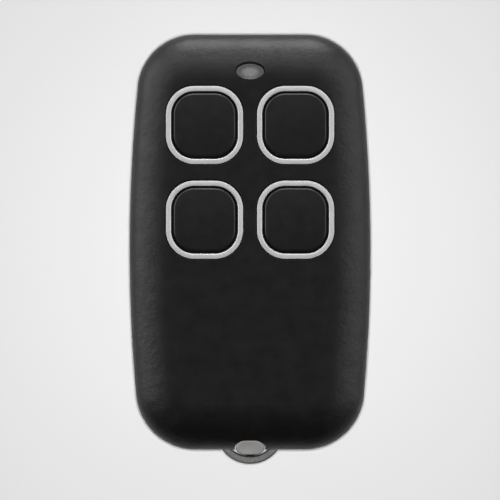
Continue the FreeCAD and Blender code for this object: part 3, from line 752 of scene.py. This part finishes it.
form = bmesh.new()
flange_centre = middle_of("led_lens")
stem_centre = flange_centre - Vector((0, STEM_LOWERED, 0))
loops = [
    round_loop(form, flange_centre, LIGHT_FLANGE_X, LIGHT_FLANGE_Y, LIGHT_LOW),
    round_loop(form, flange_centre, LIGHT_FLANGE_X, LIGHT_FLANGE_Y, LIGHT_FLANGE_HIGH),
    round_loop(form, stem_centre, STEM_X, STEM_Y, LIGHT_FLANGE_HIGH),
]
for inwards, upwards in round_over(DISH_RIM, DISH_RIM_STEPS):
    rim_z = LIGHT_HIGH - DISH_RIM + upwards
    loops.append(round_loop(form, stem_centre, STEM_X - inwards, STEM_Y - inwards, rim_z))
for share in DISH_SHARES:
    dish_x = (STEM_X - DISH_RIM) * share
    dish_y = (STEM_Y - DISH_RIM) * share
    dish_z = LIGHT_HIGH - DISH * (1 - share**2)
    loops.append(round_loop(form, stem_centre, dish_x, dish_y, dish_z))
stack(form, loops)
finish_piece(form, "light_pipe", "smoked_lens", "housing", "led_lens")

# %% [markdown]
# The key ring's post. It is one turned and pressed metal piece: an oval foot, a round pin that the
# ring hangs on, and a head with a rounded rim and a face that is pressed in a hair. The head is a
# bar with round ends that were drawn out sideways as it was pressed, and the foot reaches out a
# little further. Foot, pin and head are one stack.

# %% Post: foot, pin and head
HEAD_X = 2.12
HEAD_Y = 1.08
HEAD_DRAWN = 1.25
HEAD_SHIFT = 0.05
HEAD_ROUND = 0.1
HEAD_ROUND_STEPS = 4
HEAD_DISH = 0.05
HEAD_DISH_SHARES = (0.8, 0.6, 0.4, 0.2)
FOOT_X = 2.2
FOOT_Y = 1.24
FOOT_SHIFT = -0.1
SLOT_LOW = 4.46
SLOT_HIGH = 6.74
PIN = 1.1
TONGUE_TIP = 5.2

form = bmesh.new()
low, high = (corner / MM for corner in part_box("keyring_post"))
pin_centre = Vector((0, high.y - TONGUE_TIP, 0))
head_centre = pin_centre + Vector((0, HEAD_SHIFT, 0))
foot_centre = pin_centre + Vector((0, FOOT_SHIFT, 0))


def head_loop(half_x, half_y, z):
    """A bar with round ends that are drawn out sideways by HEAD_DRAWN."""
    edges = square_loop(form, Vector(), 2 * half_x / HEAD_DRAWN, 2 * half_y, half_y, z)
    verts = list({v for edge in edges for v in edge.verts})
    bmesh.ops.scale(form, verts=verts, vec=(HEAD_DRAWN, 1, 1))
    bmesh.ops.translate(form, verts=verts, vec=head_centre)
    return edges


def foot_loop(inwards, z):
    """An oval in the foot's outline."""
    return round_loop(form, foot_centre, FOOT_X - inwards, FOOT_Y - inwards, z)


loops = []
for inwards, upwards in reversed(round_over(HEAD_ROUND, HEAD_ROUND_STEPS)):
    loops.append(foot_loop(inwards, low.z + HEAD_ROUND - upwards))
loops.append(foot_loop(0, SLOT_LOW))
loops.append(round_loop(form, pin_centre, PIN, PIN, SLOT_LOW))
loops.append(round_loop(form, pin_centre, PIN, PIN, SLOT_HIGH))
loops.append(head_loop(HEAD_X, HEAD_Y, SLOT_HIGH))
for inwards, upwards in round_over(HEAD_ROUND, HEAD_ROUND_STEPS):
    rim_z = high.z - HEAD_ROUND + upwards
    loops.append(head_loop(HEAD_X - inwards, HEAD_Y - inwards, rim_z))
for share in HEAD_DISH_SHARES:
    face_x = (HEAD_X - HEAD_ROUND) * share
    face_y = (HEAD_Y - HEAD_ROUND) * share
    dish_z = high.z - HEAD_DISH * (1 - share**2)
    loops.append(head_loop(face_x, face_y, dish_z))
stack(form, loops)
print("post's head:", 2 * HEAD_X, "by", 2 * HEAD_Y, "mm")

# %% [markdown]
# Two tongues lock the post in the case, one above the ring's slot and one below. They are round
# at the tip and pierced by the case's pegs, and each is a closed stack in the same mesh: up the
# outside, across the top, down through the hole and back.

# %% Post: tongues
TONGUE_WIDTH = 3.4
TONGUE_ROOT = -1.0
TONGUE_THICK = 1.2
PEG_AT = 3.6
PEG_HOLE = 0.65

tongue_centre = pin_centre + Vector((0, (TONGUE_TIP + TONGUE_ROOT) / 2, 0))
tongue_length = TONGUE_TIP - TONGUE_ROOT
peg_centre = pin_centre + Vector((0, PEG_AT, 0))
for under in (SLOT_HIGH, SLOT_LOW - TONGUE_THICK):
    levels = (under, under + TONGUE_THICK)
    rim = [
        square_loop(form, tongue_centre, TONGUE_WIDTH, tongue_length, TONGUE_WIDTH / 2, z)
        for z in levels
    ]
    hole = [round_loop(form, peg_centre, PEG_HOLE, PEG_HOLE, z) for z in reversed(levels)]
    stack(form, rim + hole, closed=True)
finish_piece(form, "ring_post", "satin_nickel", "housing", "keyring_post")

# %% [markdown]
# The split ring. It is one flat wire wound twice, and a spin makes it: a rounded section turns
# round the ring's axis for most of a turn, steps down to the second level while it turns on, and
# runs round once more. Its two ends are cut square, where a key is threaded on.

# %% Split ring
WIRE_WIDTH = 1.17
WIRE_THICK = 0.8
WIRE_CORNER = 0.25
TURN_GAP = 0.08
WIRE_START = 95
FLAT_TURN = 320
STEP_TURN = 40
STEP_DEGREES = 4

form = bmesh.new()
low, high = (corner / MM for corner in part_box("split_ring"))
hub = (low + high) / 2
section = square_loop(form, Vector(), WIRE_WIDTH, WIRE_THICK, WIRE_CORNER, 0, steps=4)
upright = Matrix.Rotation(math.radians(90), 4, "X")
place_out = Matrix.Translation((high.x - WIRE_WIDTH / 2, 0, high.z - WIRE_THICK / 2))
turned = Matrix.Rotation(math.radians(WIRE_START), 4, "Z")
to_hub = Matrix.Translation((hub.x, hub.y, 0))
bmesh.ops.transform(form, verts=form.verts, matrix=to_hub @ turned @ place_out @ upright)
bmesh.ops.edgeloop_fill(form, edges=section)
wire = section + [v for v in form.verts]
for degrees, drop in ((FLAT_TURN, 0), (STEP_TURN, WIRE_THICK + TURN_GAP), (FLAT_TURN, 0)):
    steps = degrees // STEP_DEGREES
    made = bmesh.ops.spin(
        form,
        geom=wire,
        cent=hub,
        axis=(0, 0, 1),
        dvec=(0, 0, -drop / steps),
        angle=math.radians(degrees),
        steps=steps,
    )
    wire = [piece for piece in made["geom_last"] if not isinstance(piece, bmesh.types.BMFace)]
bmesh.ops.edgeloop_fill(form, edges=[e for e in wire if isinstance(e, bmesh.types.BMEdge)])
finish_piece(form, "wire_ring", "ring_steel", "key_ring", "split_ring")

# %% [markdown]
# The case halves. Their shape is right in CAD, down to the ribs round the key ring. What real
# mouldings have on top is a tiny radius on every edge, since a steel mould can't make a razor
# edge. So each half is a merged copy of its CAD mesh, with the triangles of its level faces
# dissolved and the rims that can be seen bevelled by a tenth of a millimetre. CAD meshes also
# bring exact surface normals, which keep long thin triangles from showing as streaks, so the copy
# carries them in a layer of its own.

# %% A merged copy of a CAD mesh
MERGE = 0.03
COPLANAR = math.radians(0.3)
LEVEL = 0.999999


def merged_copy(node):
    """A closed bmesh of a CAD node in millimetres that keeps its exact normals in a layer."""
    mesh = frame["nodes"][node].data.copy()
    normals = [0.0] * (3 * len(mesh.loops))
    mesh.corner_normals.foreach_get("vector", normals)
    mesh.attributes.new("exact", "FLOAT_VECTOR", "CORNER").data.foreach_set("vector", normals)
    form = bmesh.new()
    form.from_mesh(mesh)
    bpy.data.meshes.remove(mesh)
    bmesh.ops.scale(form, verts=form.verts, vec=(1 / MM, 1 / MM, 1 / MM))
    bmesh.ops.remove_doubles(form, verts=form.verts, dist=MERGE)
    bmesh.ops.recalc_face_normals(form, faces=form.faces)
    inner = [e for e in form.edges if all(abs(face.normal.z) > LEVEL for face in e.link_faces)]
    bmesh.ops.dissolve_limit(form, angle_limit=COPLANAR, verts=[], edges=inner)
    print(node, "merged to", len(form.verts), "vertices and", len(form.faces), "faces")
    return form


# %% [markdown]
# Two kinds of rim are rounded. On the front and the back all sharp edges at that level are, and
# at the parting line only the outer ones, where the halves meet in a fine groove.

# %% Choosing the rims
BACK_Z = 0.0
PARTING_Z = 5.6
RIM_ANGLE = math.radians(35)
LIGHT_HOLE_Y = 24.0
SLACK = 0.004
FACES_OUT = 0.5


def rims(form, z):
    """The sharp edges at a level, but for the light's hole, whose flare is its own rim."""
    chosen = []
    for edge in form.edges:
        at_level = max(abs(v.co.z - z) for v in edge.verts) < SLACK
        if at_level and edge.calc_face_angle(0) > RIM_ANGLE and edge.verts[0].co.y < LIGHT_HOLE_Y:
            chosen.append(edge)
    return chosen


def outer_rims(form, z):
    """The sharp edges at a level whose wall faces out of the case."""
    chosen = []
    for edge in form.edges:
        at_level = max(abs(v.co.z - z) for v in edge.verts) < SLACK
        middle = (edge.verts[0].co + edge.verts[1].co) / 2
        away = Vector((middle.x, middle.y, 0)).normalized()
        outwards = max(face.normal.dot(away) for face in edge.link_faces) > FACES_OUT
        if at_level and outwards and edge.calc_face_angle(0) > RIM_ANGLE:
            chosen.append(edge)
    return chosen


# %% [markdown]
# After the bevel, each half takes its exact normals back. On the rounded edges they come from
# the surface beside them, so that the shading runs on smoothly. Where the rounded front edge runs
# out into the flat face, a few exact ones are askew and would draw a faint line. Those are
# swapped for the normal of their triangle.

# %% Case halves
RIM_ROUND = 0.12
RIM_SEGMENTS = 3
NEARLY_LEVEL = 0.99
ASKEW = math.radians(4)


def soften(node, name, face_z):
    """The case half with its visible edges rounded, and exact normals elsewhere."""
    form = merged_copy(node)
    round_faces = set()
    for pick, z in ((rims, face_z), (outer_rims, PARTING_Z)):
        made = bmesh.ops.bevel(
            form,
            geom=pick(form, z),
            offset=RIM_ROUND,
            offset_type="OFFSET",
            affect="EDGES",
            segments=RIM_SEGMENTS,
            profile=0.5,
            material=-1,
            clamp_overlap=False,
        )
        round_faces.update(made["faces"])
    exact = form.loops.layers.float_vector["exact"]
    for face in round_faces:
        for corner in face.loops:
            beside = [c[exact] for c in corner.vert.link_loops if c.face not in round_faces]
            corner[exact] = max(beside, key=face.normal.dot, default=Vector())
    mended = 0
    for face in form.faces:
        if face.normal.z > NEARLY_LEVEL and face not in round_faces:
            for corner in face.loops:
                if corner[exact].angle(face.normal, 0) > ASKEW:
                    corner[exact] = face.normal
                    mended += 1
    print("normals set straight:", mended)
    piece = finish_piece(form, name, "case_plastic", "housing", node)
    layer = piece.data.attributes["exact"]
    piece.data.normals_split_custom_set([corner.vector for corner in layer.data])
    piece.data.attributes.remove(piece.data.attributes["exact"])


soften("front_shell", "case_front", FRONT_Z)
soften("back_shell", "case_back", BACK_Z)

# %% [markdown]
# The floor is a sheet of pale paper. It carries the remote's soft shadow, and a pool of light is
# painted into its colour, so it is a little paler round the remote than further out.

# %% Floor
FLOOR_HALF = 2.0
# The paler middle is a painted pool of light, which fades out between these distances in mm.
PAINTED_LIGHT_POOL = (12, 65)
PAPER_NEAR = grey(0.88)
PAPER_FAR = grey(0.71)
PAPER_ROUGHNESS = 0.9

floor_mesh = bpy.data.meshes.new("floor")
floor_form = bmesh.new()
bmesh.ops.create_grid(floor_form, x_segments=1, y_segments=1, size=FLOOR_HALF)
floor_form.to_mesh(floor_mesh)
floor_form.free()
floor = bpy.data.objects.new("floor", floor_mesh)
bpy.context.scene.collection.objects.link(floor)
paper = new_finish("paper", specular=0.1)
from_middle, _ = distance_from(paper, (0, 0, 0))
# The painted pool of light fades to the far tone.
pool_falloff = remap(paper, from_middle, 0, 1, *PAINTED_LIGHT_POOL)
drive(paper, "Base Color", blend(paper, pool_falloff, PAPER_NEAR, PAPER_FAR))
paper.node_tree.nodes["Principled BSDF"].inputs["Roughness"].default_value = PAPER_ROUGHNESS
floor_mesh.materials.append(paper)
print("floor:", 2 * FLOOR_HALF, "m wide")
